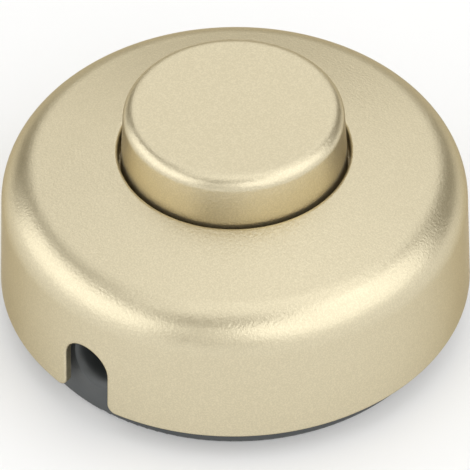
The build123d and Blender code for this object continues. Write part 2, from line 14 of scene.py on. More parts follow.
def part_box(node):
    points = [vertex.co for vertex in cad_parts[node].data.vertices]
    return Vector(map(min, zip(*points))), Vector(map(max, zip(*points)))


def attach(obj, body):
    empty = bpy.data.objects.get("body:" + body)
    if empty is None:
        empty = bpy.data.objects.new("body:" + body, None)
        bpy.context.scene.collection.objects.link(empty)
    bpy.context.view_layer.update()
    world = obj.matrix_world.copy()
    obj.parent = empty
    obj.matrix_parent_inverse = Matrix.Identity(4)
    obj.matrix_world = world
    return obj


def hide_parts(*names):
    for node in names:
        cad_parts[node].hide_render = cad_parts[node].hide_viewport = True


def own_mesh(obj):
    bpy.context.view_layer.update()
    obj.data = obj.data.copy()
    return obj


bl_info = {
    "name": "Round Foot Switch",
    "version": (1, 0, 0),
    "blender": (4, 5, 0),
    "location": "3D Viewport > Sidebar > Foot Switch",
    "description": "Builds the lacquered shells of a round foot switch and finishes every part of it",
    "category": "Object",
}

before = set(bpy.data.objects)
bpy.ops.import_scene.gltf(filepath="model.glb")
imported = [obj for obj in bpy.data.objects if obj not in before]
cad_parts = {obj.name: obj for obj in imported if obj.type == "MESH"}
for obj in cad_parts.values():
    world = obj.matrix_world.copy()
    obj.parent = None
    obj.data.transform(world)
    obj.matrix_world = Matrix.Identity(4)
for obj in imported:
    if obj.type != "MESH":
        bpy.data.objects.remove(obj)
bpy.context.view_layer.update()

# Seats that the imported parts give
RIM_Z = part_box("cover")[0].z
SCREW_TIP_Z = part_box("cover_screws")[1].z
BASE_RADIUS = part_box("base")[1].x
BASE_TOP_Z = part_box("base")[1].z
BUTTON_TOP_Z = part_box("button")[1].z
FLANGE_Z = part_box("button")[0].z
FLANGE_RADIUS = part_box("button")[1].x
SPRING_LOW, SPRING_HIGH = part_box("return_spring")


def length(name, description, default):
    """A size in metres that the panel shows in the scene's unit of length."""
    return bpy.props.FloatProperty(
        name=name, description=description, default=default, min=0.0, unit="LENGTH", precision=5
    )


def angle(name, description, degrees):
    """An angle, given in degrees and kept in radians."""
    return bpy.props.FloatProperty(
        name=name, description=description, default=math.radians(degrees), subtype="ANGLE"
    )


def colour(name, description, default):
    """A linear colour."""
    return bpy.props.FloatVectorProperty(
        name=name, description=description, default=default, subtype="COLOR", size=3, min=0.0, max=1.0
    )


def settings_of(name, description, kind):
    """Settings of one kind, as a part of all the settings."""
    return bpy.props.PointerProperty(name=name, description=description, type=kind)


class CoverSizes(bpy.types.PropertyGroup):
    """Sizes of the lacquered cover."""

    rim_radius: length("Rim radius", "Outer radius of the cover at its rim", 0.031)
    draft: angle("Draft", "Lean of the cover's side", 2.45)
    height: length("Height", "From the rim to the edge of the button hole", 0.02185)
    wall: length("Wall", "Thickness of the cover's side", 0.0012)
    roof: length("Roof", "Thickness of the cover's roof", 0.0015)
    roof_slope: angle("Roof slope", "Fall of the roof from the button hole outward", 13.7)
    shoulder_radius: length("Shoulder radius", "Radius between side and roof", 0.0062)
    hole_radius: length("Hole radius", "Radius of the button hole", 0.01505)
    lip_radius: length("Lip radius", "Rounding of the edge of the button hole", 0.0004)
    collar: length("Collar", "Thickness of the collar under the button hole", 0.0014)
    collar_depth: length("Collar depth", "From the edge of the hole to the foot of the collar", 0.0029)
    edge_radius: length("Edge radius", "Rounding of the rim and of the notches", 0.0003)
    inner_edge_radius: length("Inner edge radius", "Rounding of the inner edges", 0.0001)
    notch_half_width: length("Notch half width", "Half the width of a cord notch", 0.00345)
    notch_arch_rise: length("Notch arch rise", "From the rim to the centre of the arch", 0.0058)
    notch_flare_radius: length("Notch flare", "Rounding where a notch meets the rim", 0.0013)
    rib_width: length("Rib width", "Width of a centring rib", 0.0014)
    rib_clearance: length("Rib clearance", "Between a centring rib and the base", 0.00015)
    post_radius: length("Post radius", "Radius of a screw post", 0.003)
    post_bore: length("Post bore", "Radius of the screw hole in a post", 0.00147)
    post_bore_depth: length("Post bore depth", "Depth of the screw hole in a post", 0.0062)
    screw_grip: length("Screw grip", "Length of a cover screw that is inside its post", 0.0056)
    post_distance: length("Post distance", "From the middle of the cover to a screw post", 0.023)
    post_angle: angle("Post angle", "Direction of the first screw post", 45)


class ButtonSizes(bpy.types.PropertyGroup):
    """Sizes of the lacquered button."""

    radius: length("Radius", "Radius of the button at the edge of the hole", 0.0146)
    rise: length("Rise", "From the edge of the hole to the top of the button", 0.00705)
    draft: angle("Draft", "Lean of the button's side", 3.2)
    edge_radius: length("Edge radius", "Rounding round the top", 0.0019)
    wall: length("Wall", "Thickness of the button's side", 0.0015)
    top: length("Top", "Thickness of the button's top", 0.0016)
    flange: length("Flange", "Thickness of the flange under the cover", 0.0015)
    socket_radius: length("Socket radius", "Inner radius of the plunger's socket", 0.0065)
    socket_wall: length("Socket wall", "Thickness of the socket's wall", 0.0027)
    socket_depth: length("Socket depth", "Depth of the socket under the top", 0.0041)


class SpringSizes(bpy.types.PropertyGroup):
    """Sizes of the return spring."""

    wire: length("Wire", "Thickness of the wire", 0.0009)
    turns: bpy.props.FloatProperty(name="Turns", description="Number of turns", default=5.0, min=1.0)


class Finishes(bpy.types.PropertyGroup):
    """Colours of the materials, linear."""

    lacquer_light: colour("Lacquer light", "Bright flakes of the lacquer", (0.744, 0.667, 0.482))
    lacquer_deep: colour("Lacquer deep", "Ground tone of the lacquer", (0.6, 0.535, 0.375))
    lacquer_edge: colour("Lacquer edge", "Tint of the lacquer at a glancing angle", (0.52, 0.44, 0.3))
    housing: colour("Housing", "Dark grey moulded plastic", (0.07, 0.076, 0.078))
    rubber: colour("Rubber", "Feet", (0.022, 0.022, 0.023))
    nylon: colour("Nylon", "Off-white moulded plastic", (0.74, 0.71, 0.63))
    steel: colour("Steel", "Plated steel", (0.56, 0.57, 0.58))
    brass: colour("Brass", "Contact strips and terminals", (0.72, 0.50, 0.20))
    bronze: colour("Bronze", "Detent spring", (0.60, 0.36, 0.18))
    silver: colour("Silver", "Contact faces", (0.83, 0.82, 0.79))


class StudioSettings(bpy.types.PropertyGroup):
    """Camera, floor and lamps."""

    azimuth: angle("Azimuth", "Turn of the camera from the inlet's side towards +X", 39.1)
    elevation: angle("Elevation", "Height of the camera above the horizon", 43.356)
    roll: angle("Roll", "Turn of the picture about the line of sight", -0.6)
    distance: length("Distance", "From the camera to its aim", 0.65)
    aim_height: length("Aim height", "Height of the point that the camera looks at", 0.0103)
    lens: bpy.props.FloatProperty(
        name="Lens",
        description="Focal length in millimetres",
        default=378.9,
        min=1.0,
        subtype="DISTANCE_CAMERA",
    )
    floor_size: length("Floor size", "Side of the floor", 10.0)
    floor_drop: length("Floor drop", "Gap that keeps the floor clear of the feet", 0.00002)
    floor_glow: bpy.props.FloatProperty(
        name="Floor glow",
        description="Share of plain white in the floor's look",
        default=0.2,
        min=0.0,
        max=1.0,
        subtype="FACTOR",
    )
    world_level: bpy.props.FloatProperty(
        name="World level", description="Strength of the light from all round", default=0.2, min=0.0
    )
    world_tone: colour("World tone", "Warm tone of the light from all round", (1.0, 0.88, 0.6))
    lamp_tone: colour("Lamp tone", "Slightly cool tone of the softboxes", (0.94, 0.96, 1.0))
    paper: colour("Paper", "Colour of the floor", (0.9, 0.9, 0.9))
    lamp_distance: length("Lamp distance", "From the aim to each softbox", 1.5)


class FootSwitchSettings(bpy.types.PropertyGroup):
    """All the settings of the foot switch."""

    cover: settings_of("Cover", "Sizes of the cover", CoverSizes)
    button: settings_of("Button", "Sizes of the button", ButtonSizes)
    spring: settings_of("Spring", "Sizes of the return spring", SpringSizes)
    finishes: settings_of("Finishes", "Colours", Finishes)
    studio: settings_of("Studio", "Camera and light", StudioSettings)


# Surfaces

GUARD = 0.00012  # a line of points this close to each end of a rounding keeps the flats beside it flat
SHARP_ANGLE = math.radians(40)  # faces that meet at more than this keep a sharp edge
RIB_COUNT = 6
MEAN_RADIUS = 0.0308  # radius at which the cover's side is unrolled
EDGE_LEAVE, JOIN_ARRIVE = 0.0008, 0.003  # handles of the curves from the lower edge up to the shoulder
SPREAD_START, SPREAD_REACH = 0.002, 0.03  # where the columns drift apart above a notch, along the lower edge
EVEN_START, EVEN_REACH = 0.006, 0.015  # where the columns turn evenly beside a notch
ARCH_COLUMNS, NOTCH_SIDE_COLUMNS, FLARE_COLUMNS, RIM_COLUMNS = 22, 14, 12, 100  # over a quarter of the rim
SIDE_ROWS, SIDE_CROWDING = 25, 1.4  # rows of the side, and the power that draws them to the lower edge
EDGE_STEPS = 5  # steps of the rounding of the lower edge
POST_COLUMNS, BUTTON_COLUMNS = 48, 288
STEPS_PER_TURN, WIRE_COLUMNS = 64, 18


def smooth_step(share):
    """Three times the square less twice the cube of the share, which is held between 0 and 1."""
    share = np.clip(share, 0, 1)
    return share**2 * (3 - 2 * share)


def divided(line, spacing):
    """The line with each run longer than spacing cut into equal shorter ones."""
    counts = np.maximum(1, np.ceil(np.hypot(*np.diff(line, axis=0).T) / spacing)).astype(int)
    run = np.repeat(np.arange(len(counts)), counts)
    share = (np.arange(counts.sum()) - np.repeat(np.cumsum(counts) - counts, counts)) / counts[run]
    return np.vstack([line[run] + share[:, None] * (line[run + 1] - line[run]), line[-1:]])


def rounded_line(corners, arc_steps, spacing=0.0012):
    """A line through (x, y, radius) corners. At a corner with a radius it follows the arc that touches both
    runs. The arc's centre lies on the line that halves the corner, at radius / sin(half its angle)."""
    parts = [np.array([corners[0][:2]])]
    for before, (x, y, radius), after in zip(corners, corners[1:], corners[2:]):
        corner = np.array([x, y])
        back = np.array(before[:2]) - corner
        ahead = np.array(after[:2]) - corner
        back /= np.linalg.norm(back)
        ahead /= np.linalg.norm(ahead)
        half = math.acos(np.clip(back @ ahead, -1, 1)) / 2
        if radius == 0:
            parts.append(np.array([corner + GUARD * back, corner, corner + GUARD * ahead]))
            continue
        reach = radius / math.tan(half)
        middle = back + ahead
        centre = corner + middle / np.linalg.norm(middle) * radius / math.sin(half)
        first = (corner + reach * back - centre) / radius
        last = (corner + reach * ahead - centre) / radius
        sweep = math.pi - 2 * half
        share = np.linspace(0, 1, arc_steps + 1)[:, None]
        arc = (np.sin((1 - share) * sweep) * first + np.sin(share * sweep) * last) / math.sin(sweep)
        parts += [
            (corner + (reach + GUARD) * back)[None],
            centre + radius * arc,
            (corner + (reach + GUARD) * ahead)[None],
        ]
    parts.append(np.array([corners[-1][:2]]))
    return divided(np.vstack(parts), spacing)


def grid_faces(rows, columns, wrap_rows=False):
    """Quads that join each point of a grid to its neighbours in the next column and row. The last column
    joins the first, and in a grid that wraps its rows, the last row joins the first."""
    numbers = np.arange(rows * columns).reshape(rows, columns)
    if wrap_rows:
        numbers = np.vstack([numbers, numbers[:1]])
    numbers = np.hstack([numbers, numbers[:, :1]])
    corners = (numbers[:-1, :-1], numbers[:-1, 1:], numbers[1:, 1:], numbers[1:, :-1])
    return np.stack(corners, axis=-1).reshape(-1, 4)


def capped(points, rows, columns, first_pole, last_pole):
    """A tube of quads over a grid of points, closed at both ends by a fan of triangles to a pole point."""
    faces = grid_faces(rows, columns).tolist()
    ring = np.arange(columns)
    for start, pole in ((0, rows * columns), ((rows - 1) * columns, rows * columns + 1)):
        fan = np.column_stack([start + ring, start + np.roll(ring, -1), np.full(columns, pole)])
        faces += fan.tolist()
    return np.vstack([points.reshape(-1, 3), first_pole, last_pole]), faces


def revolved(profile, columns, centre=(0.0, 0.0)):
    """A closed solid of revolution: x and y are the centre plus the profile's radius times the cosine and
    sine of an even turn, z is its height. The profile starts and ends on the axis."""
    turn = np.linspace(0, 2 * math.pi, columns, endpoint=False)
    radius, height = profile[1:-1, :1], profile[1:-1, 1:]
    grid = np.stack(
        [
            centre[0] + radius * np.cos(turn),
            centre[1] + radius * np.sin(turn),
            np.broadcast_to(height, (len(radius), columns)),
        ],
        axis=-1,
    )
    first, last = ((*centre, profile[end, 1]) for end in (0, -1))
    return capped(grid, len(radius), columns, first, last)


def block(low, high, turn):
    """The six faces of a box from low to high, turned about the upright axis."""
    share = np.array([(x, y, z) for z in (0, 1) for x, y in ((0, 0), (1, 0), (1, 1), (0, 1))])
    points = np.array(low) + share * (np.array(high) - np.array(low))
    faces = [[0, 3, 2, 1], [4, 5, 6, 7], [0, 1, 5, 4], [1, 2, 6, 5], [2, 3, 7, 6], [3, 0, 4, 7]]
    return points @ np.array(Matrix.Rotation(turn, 3, "Z")).T, faces


def make_piece(name, shells, material, body, node):
    """Joins closed shells of (points, faces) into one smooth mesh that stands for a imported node."""
    points = np.vstack([shell[0] for shell in shells])
    faces = []
    first = 0
    for shell_points, shell_faces in shells:
        faces += [[first + corner for corner in face] for face in shell_faces]
        first += len(shell_points)
    mesh = bpy.data.meshes.new(name)
    mesh.from_pydata(points, [], faces)
    edit = bmesh.new()
    edit.from_mesh(mesh)
    bmesh.ops.recalc_face_normals(edit, faces=edit.faces)
    edit.to_mesh(mesh)
    edit.free()
    mesh.shade_smooth()
    mesh.set_sharp_from_angle(angle=SHARP_ANGLE)
    mesh.materials.append(material)
    piece = bpy.data.objects.new(name, mesh)
    bpy.context.scene.collection.objects.link(piece)
    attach(piece, body)
    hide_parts(node)
    return piece


# The cover


def side_radius(cover, z):
    """Outer radius of the side: the rim's radius less the height over the rim times the draft's tangent."""
    return cover.rim_radius - (z - RIM_Z) * math.tan(cover.draft)


def roof_z(cover, radius, depth=0.0):
    """Height of the sloping roof at a radius, moved down by depth."""
    return RIM_Z + cover.height - depth - (radius - cover.hole_radius) * math.tan(cover.roof_slope)


def shoulder_corner(cover, wall, roof):
    """Where the side, moved in by wall, would meet the roof, moved down by roof."""
    lean, slope = math.tan(cover.draft), math.tan(cover.roof_slope)
    over_rim = cover.height - roof + cover.hole_radius * slope
    radius = (cover.rim_radius - wall - lean * over_rim) / (1 - lean * slope)
    return radius, roof_z(cover, radius, roof)


def lower_edge(cover, along):
    """The unrolled lower edge of the side over a quarter turn, by the distance along it from the top of a
    notch: a quarter arch, an upright side, a rounded corner and then the straight rim.
    Gives the distance across, the height, and the direction into the wall."""
    arch, flare = cover.notch_half_width, cover.notch_flare_radius
    side_start, flare_start, rim_start = edge_stops(cover)
    arch_turn = along / arch
    flare_turn = (along - flare_start) / flare
    one, zero = np.ones_like(along), np.zeros_like(along)
    where = [along < side_start, along < flare_start, along < rim_start]
    across = np.select(
        where,
        [arch * np.sin(arch_turn), arch * one, arch + flare * (1 - np.cos(flare_turn))],
        arch + flare + along - rim_start,
    )
    up = np.select(
        where,
        [
            cover.notch_arch_rise + arch * np.cos(arch_turn),
            cover.notch_arch_rise - (along - side_start),
            flare * (1 - np.sin(flare_turn)),
        ],
        zero,
    )
    into_across = np.select(where, [np.sin(arch_turn), one, np.cos(flare_turn)], zero)
    into_up = np.select(where, [np.cos(arch_turn), zero, np.sin(flare_turn)], one)
    return across, RIM_Z + up, into_across, into_up


def edge_stops(cover):
    """Distances along the lower edge at which the arch, the upright side and the rounded corner end."""
    side_start = cover.notch_half_width * math.pi / 2
    flare_start = side_start + cover.notch_arch_rise - cover.notch_flare_radius
    return side_start, flare_start, flare_start + cover.notch_flare_radius * math.pi / 2


def cover_shell(cover):
    """The cover as one closed grid. Its columns leave the lower edge squarely, bend upright as Bezier curves
    on the unrolled side, and run over the shoulder and roof, down the collar and back along the inside.
    Its side radius depends on height alone, so the curves shape the mesh and not the surface."""
    join_gap = 3 * GUARD
    side_start, flare_start, rim_start = edge_stops(cover)
    flat_edge = cover.notch_half_width + cover.notch_flare_radius
    quarter = rim_start + MEAN_RADIUS * math.pi / 2 - flat_edge
    along = np.concatenate(
        [
            np.linspace(0, side_start, ARCH_COLUMNS, endpoint=False),
            np.linspace(side_start, flare_start, NOTCH_SIDE_COLUMNS, endpoint=False),
            np.linspace(flare_start, rim_start, FLARE_COLUMNS, endpoint=False),
            np.linspace(rim_start, quarter, RIM_COLUMNS),
        ]
    )
    across, up, into_across, into_up = lower_edge(cover, along)
    spare = quarter - MEAN_RADIUS * math.pi / 2
    top_across = along - spare * smooth_step((along - SPREAD_START) / SPREAD_REACH)

    def turn(distance, radius, share):
        """Angle round the cover: the arc sine of distance / radius by the notch, so that its sides are flat
        and parallel, and distance / mean radius further up and further round."""
        even = 1 - (1 - smooth_step(share)) * (1 - smooth_step((distance - EVEN_START) / EVEN_REACH))
        bent = np.arcsin(np.clip(distance / radius, 0, 1))
        return (1 - even) * bent + even * distance / MEAN_RADIUS

    def side_rows(depth, inset, join_z, share):
        """Rows of the side at a depth, from the lower edge moved in by inset, share 0, to join_z, share 1."""
        share = share[:, None]
        start = np.stack([across + inset * into_across, up + inset * into_up])
        leaving = start + EDGE_LEAVE * np.stack([into_across, into_up])
        end = np.stack([top_across, np.full_like(along, join_z)])
        arriving = end - np.array([[0], [JOIN_ARRIVE]])
        weights = [(1 - share) ** 3, 3 * (1 - share) ** 2 * share, 3 * (1 - share) * share**2, share**3]
        distance, height = (
            sum(weight * point[axis] for weight, point in zip(weights, (start, leaving, arriving, end)))
            for axis in (0, 1)
        )
        radius = side_radius(cover, height) - depth
        return radius, turn(distance, radius, share), height

    def edge_rows(inset, depth):
        """Rows of the lower edge, each moved into the wall by its inset and depth."""
        distance = across + inset[:, None] * into_across
        height = up + inset[:, None] * into_up
        radius = side_radius(cover, height) - depth[:, None]
        return radius, turn(distance, radius, 0), height

    half_corner = (math.pi / 2 + cover.draft + cover.roof_slope) / 2
    outer_corner = shoulder_corner(cover, 0, 0)
    inner_corner = shoulder_corner(cover, cover.wall, cover.roof)
    inner_radius = cover.shoulder_radius - cover.wall
    outer_drop = cover.shoulder_radius / math.tan(half_corner) + join_gap
    inner_drop = inner_radius / math.tan(half_corner) + join_gap
    outer_join = outer_corner[1] - outer_drop * math.cos(cover.draft)
    inner_join = inner_corner[1] - inner_drop * math.cos(cover.draft)
    collar_radius = cover.hole_radius + cover.collar
    collar_z = RIM_Z + cover.height - cover.collar_depth
    edge = cover.inner_edge_radius
    # Where the lines of the profile meet, clear of the roundings by the hole and the collar
    by_hole = cover.hole_radius + 4 * cover.lip_radius
    by_collar = collar_radius + 10 * edge
    profile = np.vstack(
        [
            rounded_line(
                [
                    (side_radius(cover, outer_join), outer_join, 0),
                    (*outer_corner, cover.shoulder_radius),
                    (by_hole, roof_z(cover, by_hole), 0),
                ],
                arc_steps=26,
            )[:-1],
            rounded_line(
                [
                    (by_hole, roof_z(cover, by_hole), 0),
                    (cover.hole_radius, RIM_Z + cover.height, cover.lip_radius),
                    (cover.hole_radius, collar_z, edge),
                    (collar_radius, collar_z, edge),
                    (collar_radius, roof_z(cover, collar_radius, cover.roof), 2 * edge),
                    (by_collar, roof_z(cover, by_collar, cover.roof), 0),
                ],
                arc_steps=6,
            )[:-1],
            rounded_line(
                [
                    (by_collar, roof_z(cover, by_collar, cover.roof), 0),
                    (*inner_corner, inner_radius),
                    (side_radius(cover, inner_join) - cover.wall, inner_join, 0),
                ],
                arc_steps=16,
            ),
        ]
    )
    profile_turn = np.broadcast_to(top_across / MEAN_RADIUS, (len(profile), len(along)))
    profile_rows = (
        np.broadcast_to(profile[:, :1], profile_turn.shape),
        profile_turn,
        np.broadcast_to(profile[:, 1:], profile_turn.shape),
    )
    share = np.linspace(0, 1, SIDE_ROWS) ** SIDE_CROWDING
    quarter_turn = np.radians(np.linspace(0, 90, EDGE_STEPS + 1))
    round_inner = edge_rows(
        edge * (1 - np.sin(quarter_turn[1:])), cover.wall - edge * (1 - np.cos(quarter_turn[1:]))
    )
    end_depths = np.array([cover.wall - edge - GUARD / 2, cover.edge_radius + GUARD])
    outward_turn = quarter_turn[:0:-1]
    round_outer = edge_rows(
        cover.edge_radius * (1 - np.sin(outward_turn)), cover.edge_radius * (1 - np.cos(outward_turn))
    )
    sections = [
        side_rows(0, cover.edge_radius, outer_join, share[:-1]),
        profile_rows,
        side_rows(cover.wall, edge, inner_join, share[-2::-1]),
        round_inner,
        edge_rows(0 * end_depths, end_depths),
        round_outer,
    ]
    radius, turned, height = (np.vstack([section[part] for section in sections]) for part in range(3))
    last = len(along) - 1
    order = np.tile(np.concatenate([np.arange(last), np.arange(last, 0, -1)]), 2)
    sign = np.repeat([1, -1, 1, -1], last)
    offset = np.repeat([0, math.pi, math.pi, 2 * math.pi], last)
    full_turn = offset + sign * turned[:, order]
    radius, height = radius[:, order], height[:, order]
    grid = np.stack([radius * np.sin(full_turn), -radius * np.cos(full_turn), height], axis=-1)
    return grid.reshape(-1, 3), grid_faces(*radius.shape, wrap_rows=True).tolist()


def screw_post(cover, turn):
    """A post that hangs from the roof, with the blind hole of a screw. Its top follows the middle of the
    roof."""
    centre = cover.post_distance * np.array([math.cos(turn), math.sin(turn)])
    foot = SCREW_TIP_Z - cover.screw_grip
    bore_top = foot + cover.post_bore_depth
    top = roof_z(cover, cover.post_distance, cover.roof / 2)
    profile = rounded_line(
        [
            (0, bore_top, 0),
            (cover.post_bore, bore_top, 0),
            (cover.post_bore, foot, cover.inner_edge_radius),
            (cover.post_radius, foot, cover.inner_edge_radius),
            (cover.post_radius, top, 0),
            (0, top, 0),
        ],
        arc_steps=4,
    )
    points, faces = revolved(profile, POST_COLUMNS, tuple(centre))
    over = points[:, 2] > top - GUARD / 2
    points[over, 2] = roof_z(cover, np.hypot(*points[over, :2].T), cover.roof / 2)
    return points, faces


def centring_rib(cover, turn):
    """An upright rib inside the side, which keeps the cover centred on the base."""
    low = (BASE_RADIUS + cover.rib_clearance, -cover.rib_width / 2, RIM_Z)
    high = (side_radius(cover, BASE_TOP_Z) - cover.wall / 2, cover.rib_width / 2, BASE_TOP_Z)
    return block(low, high, turn)


# The button and the spring


def button_shell(button):
    """The button as a solid of revolution, with its flange, hollow and socket."""
    hole_z = BUTTON_TOP_Z - button.rise
    neck = button.radius - button.rise * math.tan(button.draft)
    inner = button.radius - button.wall
    ceiling = BUTTON_TOP_Z - button.top
    socket_outer = button.socket_radius + button.socket_wall
    socket_z = ceiling - button.socket_depth
    flange_top = FLANGE_Z + button.flange
    rounding = 0.0001
    above_flange = flange_top + 8 * rounding
    upper = rounded_line(
        [
            (0, BUTTON_TOP_Z, 0),
            (neck, BUTTON_TOP_Z, button.edge_radius),
            (button.radius, hole_z, 20 * rounding),
            (button.radius, above_flange, 0),
        ],
        arc_steps=22,
    )
    lower = rounded_line(
        [
            (button.radius, above_flange, 0),
            (button.radius, flange_top, 2 * rounding),
            (FLANGE_RADIUS, flange_top, rounding),
            (FLANGE_RADIUS, FLANGE_Z, rounding),
            (inner, FLANGE_Z, rounding),
            (inner, ceiling, 4 * rounding),
            (socket_outer, ceiling, 2 * rounding),
            (socket_outer, socket_z, rounding),
            (button.socket_radius, socket_z, rounding),
            (button.socket_radius, ceiling, rounding),
            (0, ceiling, 0),
        ],
        arc_steps=5,
    )
    return revolved(np.vstack([upper[:-1], lower]), BUTTON_COLUMNS)


def coil_shell(spring):
    """A helical wire with ends ground flat. Its middle line turns evenly as it rises; round it the wire's
    circle lies in the plane of the outward direction and the normal to the helix."""
    coil_radius = SPRING_HIGH.x - spring.wire / 2
    ground = spring.wire / 4
    low, high = SPRING_LOW.z + ground, SPRING_HIGH.z - ground
    rows, columns = int(spring.turns * STEPS_PER_TURN) + 1, WIRE_COLUMNS
    share = np.linspace(0, 1, rows)[:, None]
    turn = 2 * math.pi * spring.turns * share
    pitch = (high - low) / (2 * math.pi * spring.turns)
    lean = math.atan2(pitch, coil_radius)
    around = np.linspace(0, 2 * math.pi, columns, endpoint=False)
    out, rise = spring.wire / 2 * np.cos(around), spring.wire / 2 * np.sin(around)
    radius = coil_radius + out
    grid = np.stack(
        [
            radius * np.cos(turn) + rise * math.sin(lean) * np.sin(turn),
            radius * np.sin(turn) - rise * math.sin(lean) * np.cos(turn),
            low + (high - low) * share + rise * math.cos(lean),
        ],
        axis=-1,
    )
    grid[..., 2] = np.clip(grid[..., 2], SPRING_LOW.z, SPRING_HIGH.z)
    return capped(grid, rows, columns, grid[0].mean(axis=0), grid[-1].mean(axis=0))


# Materials


def add_node(tree, kind, sockets=None, **settings):
    """Adds a node to a tree, with its settings, and fills its sockets from values or other sockets."""
    made = tree.nodes.new(kind)
    for name, value in settings.items():
        setattr(made, name, value)
    for name, value in (sockets or {}).items():
        if isinstance(value, bpy.types.NodeSocket):
            tree.links.new(value, made.inputs[name])
        else:
            made.inputs[name].default_value = value
    return made


def new_group(name, inputs, outputs):
    """An empty shader group with named inputs, each with its default, and named outputs."""
    tree = bpy.data.node_groups.new(name, "ShaderNodeTree")
    for socket_name, default in inputs.items():
        socket = tree.interface.new_socket(name=socket_name, in_out="INPUT", socket_type="NodeSocketFloat")
        socket.default_value = default
    for socket_name in outputs:
        tree.interface.new_socket(name=socket_name, in_out="OUTPUT", socket_type="NodeSocketFloat")
    return tree, tree.nodes.new("NodeGroupInput"), tree.nodes.new("NodeGroupOutput")


def grain_group():
    """Group of a fine moulded grain: two sizes of noise, mixed. Height is the relief, Fleck a fine
    speckle."""
    tree, given, result = new_group(
        "moulded_grain", {"Grain Size": 0.0004, "Fine Size": 0.00015, "Fine Share": 0.4}, ("Height", "Fleck")
    )
    place = add_node(tree, "ShaderNodeTexCoord").outputs["Object"]
    heights = []
    for size in ("Grain Size", "Fine Size"):
        scale = add_node(tree, "ShaderNodeMath", {0: 1.0, 1: given.outputs[size]}, operation="DIVIDE")
        noise = add_node(
            tree,
            "ShaderNodeTexNoise",
            {"Vector": place, "Scale": scale.outputs[0], "Detail": 1.5, "Roughness": 0.5},
        )
        heights.append(noise.outputs["Fac"])
    mixed = add_node(
        tree,
        "ShaderNodeMix",
        {"Factor": given.outputs["Fine Share"], "A": heights[0], "B": heights[1]},
        data_type="FLOAT",
    )
    fleck = add_node(
        tree,
        "ShaderNodeMapRange",
        {"Value": heights[1], "From Min": 0.4, "From Max": 0.66},
        interpolation_type="SMOOTHSTEP",
    )
    tree.links.new(mixed.outputs["Result"], result.inputs["Height"])
    tree.links.new(fleck.outputs["Result"], result.inputs["Fleck"])
    return tree


def drift_group():
    """Group of a slow, cloudy change over a surface, from 0 to 1."""
    tree, given, result = new_group("tone_drift", {"Patch Size": 0.012}, ("Mask",))
    place = add_node(tree, "ShaderNodeTexCoord").outputs["Object"]
    scale = add_node(tree, "ShaderNodeMath", {0: 1.0, 1: given.outputs["Patch Size"]}, operation="DIVIDE")
    noise = add_node(tree, "ShaderNodeTexNoise", {"Vector": place, "Scale": scale.outputs[0], "Detail": 3.0})
    mask = add_node(
        tree, "ShaderNodeMapRange", {"Value": noise.outputs["Fac"], "From Min": 0.3, "From Max": 0.7}
    )
    tree.links.new(mask.outputs["Result"], result.inputs["Mask"])
    return tree


def scratch_group():
    """Group of fine drawing lines in metal: noise stretched along X, and a broader bloom of handling."""
    bloom_scale = 400.0  # patches in a metre
    tree, given, result = new_group(
        "metal_lines", {"Line Width": 0.0001, "Line Stretch": 12.0}, ("Lines", "Bloom")
    )
    place = add_node(tree, "ShaderNodeTexCoord").outputs["Object"]
    scale = add_node(tree, "ShaderNodeMath", {0: 1.0, 1: given.outputs["Line Width"]}, operation="DIVIDE")
    squeeze = add_node(tree, "ShaderNodeMath", {0: 1.0, 1: given.outputs["Line Stretch"]}, operation="DIVIDE")
    stretch = add_node(tree, "ShaderNodeCombineXYZ", {"X": squeeze.outputs[0], "Y": 1.0, "Z": 1.0})
    along = add_node(
        tree, "ShaderNodeVectorMath", {0: place, 1: stretch.outputs["Vector"]}, operation="MULTIPLY"
    )
    lines = add_node(
        tree,
        "ShaderNodeTexNoise",
        {"Vector": along.outputs["Vector"], "Scale": scale.outputs[0], "Detail": 2.0},
    )
    bloom = add_node(tree, "ShaderNodeTexNoise", {"Vector": place, "Scale": bloom_scale, "Detail": 3.0})
    tree.links.new(lines.outputs["Fac"], result.inputs["Lines"])
    tree.links.new(bloom.outputs["Fac"], result.inputs["Bloom"])
    return tree


def effect(tree, group, **values):
    """Places a node group in a material with its own values."""
    placed = tree.nodes.new("ShaderNodeGroup")
    placed.node_tree = bpy.data.node_groups[group]
    for name, value in values.items():
        placed.inputs[name.replace("_", " ").title()].default_value = value
    return placed


def ranged(tree, source, low, high):
    """A value that goes from low to high as the source goes from 0 to 1."""
    spread = add_node(tree, "ShaderNodeMapRange", {"Value": source, "To Min": low, "To Max": high})
    return spread.outputs["Result"]


def blended(tree, factor, first, second):
    """A colour that goes from first to second with the factor."""
    mix = add_node(tree, "ShaderNodeMix", {"Factor": factor}, data_type="RGBA")
    mix.inputs[6].default_value = (*first, 1)
    mix.inputs[7].default_value = (*second, 1)
    return mix.outputs[2]


def darker(shade, share):
    """A colour times a share."""
    return tuple(share * part for part in shade)


def surface(name, base, roughness, normal, **constants):
    """Finishes a material: base colour, roughness and normal come from nodes, the rest are the shader's own
    values. Each of base, roughness and normal is a function of the tree that gives a socket."""
    material = bpy.data.materials.new(name)
    material.use_nodes = True
    tree = material.node_tree
    tree.nodes.clear()
    shader = add_node(tree, "ShaderNodeBsdfPrincipled", constants)
    tree.links.new(base(tree), shader.inputs["Base Color"])
    tree.links.new(roughness(tree), shader.inputs["Roughness"])
    tree.links.new(normal(tree), shader.inputs["Normal"])
    add_node(tree, "ShaderNodeOutputMaterial", {"Surface": shader.outputs["BSDF"]})
    return material


def bumped(tree, height, depth):
    """The normal of a relief of that depth."""
    relief = add_node(tree, "ShaderNodeBump", {"Height": height, "Distance": depth, "Strength": 1.0})
    return relief.outputs["Normal"]


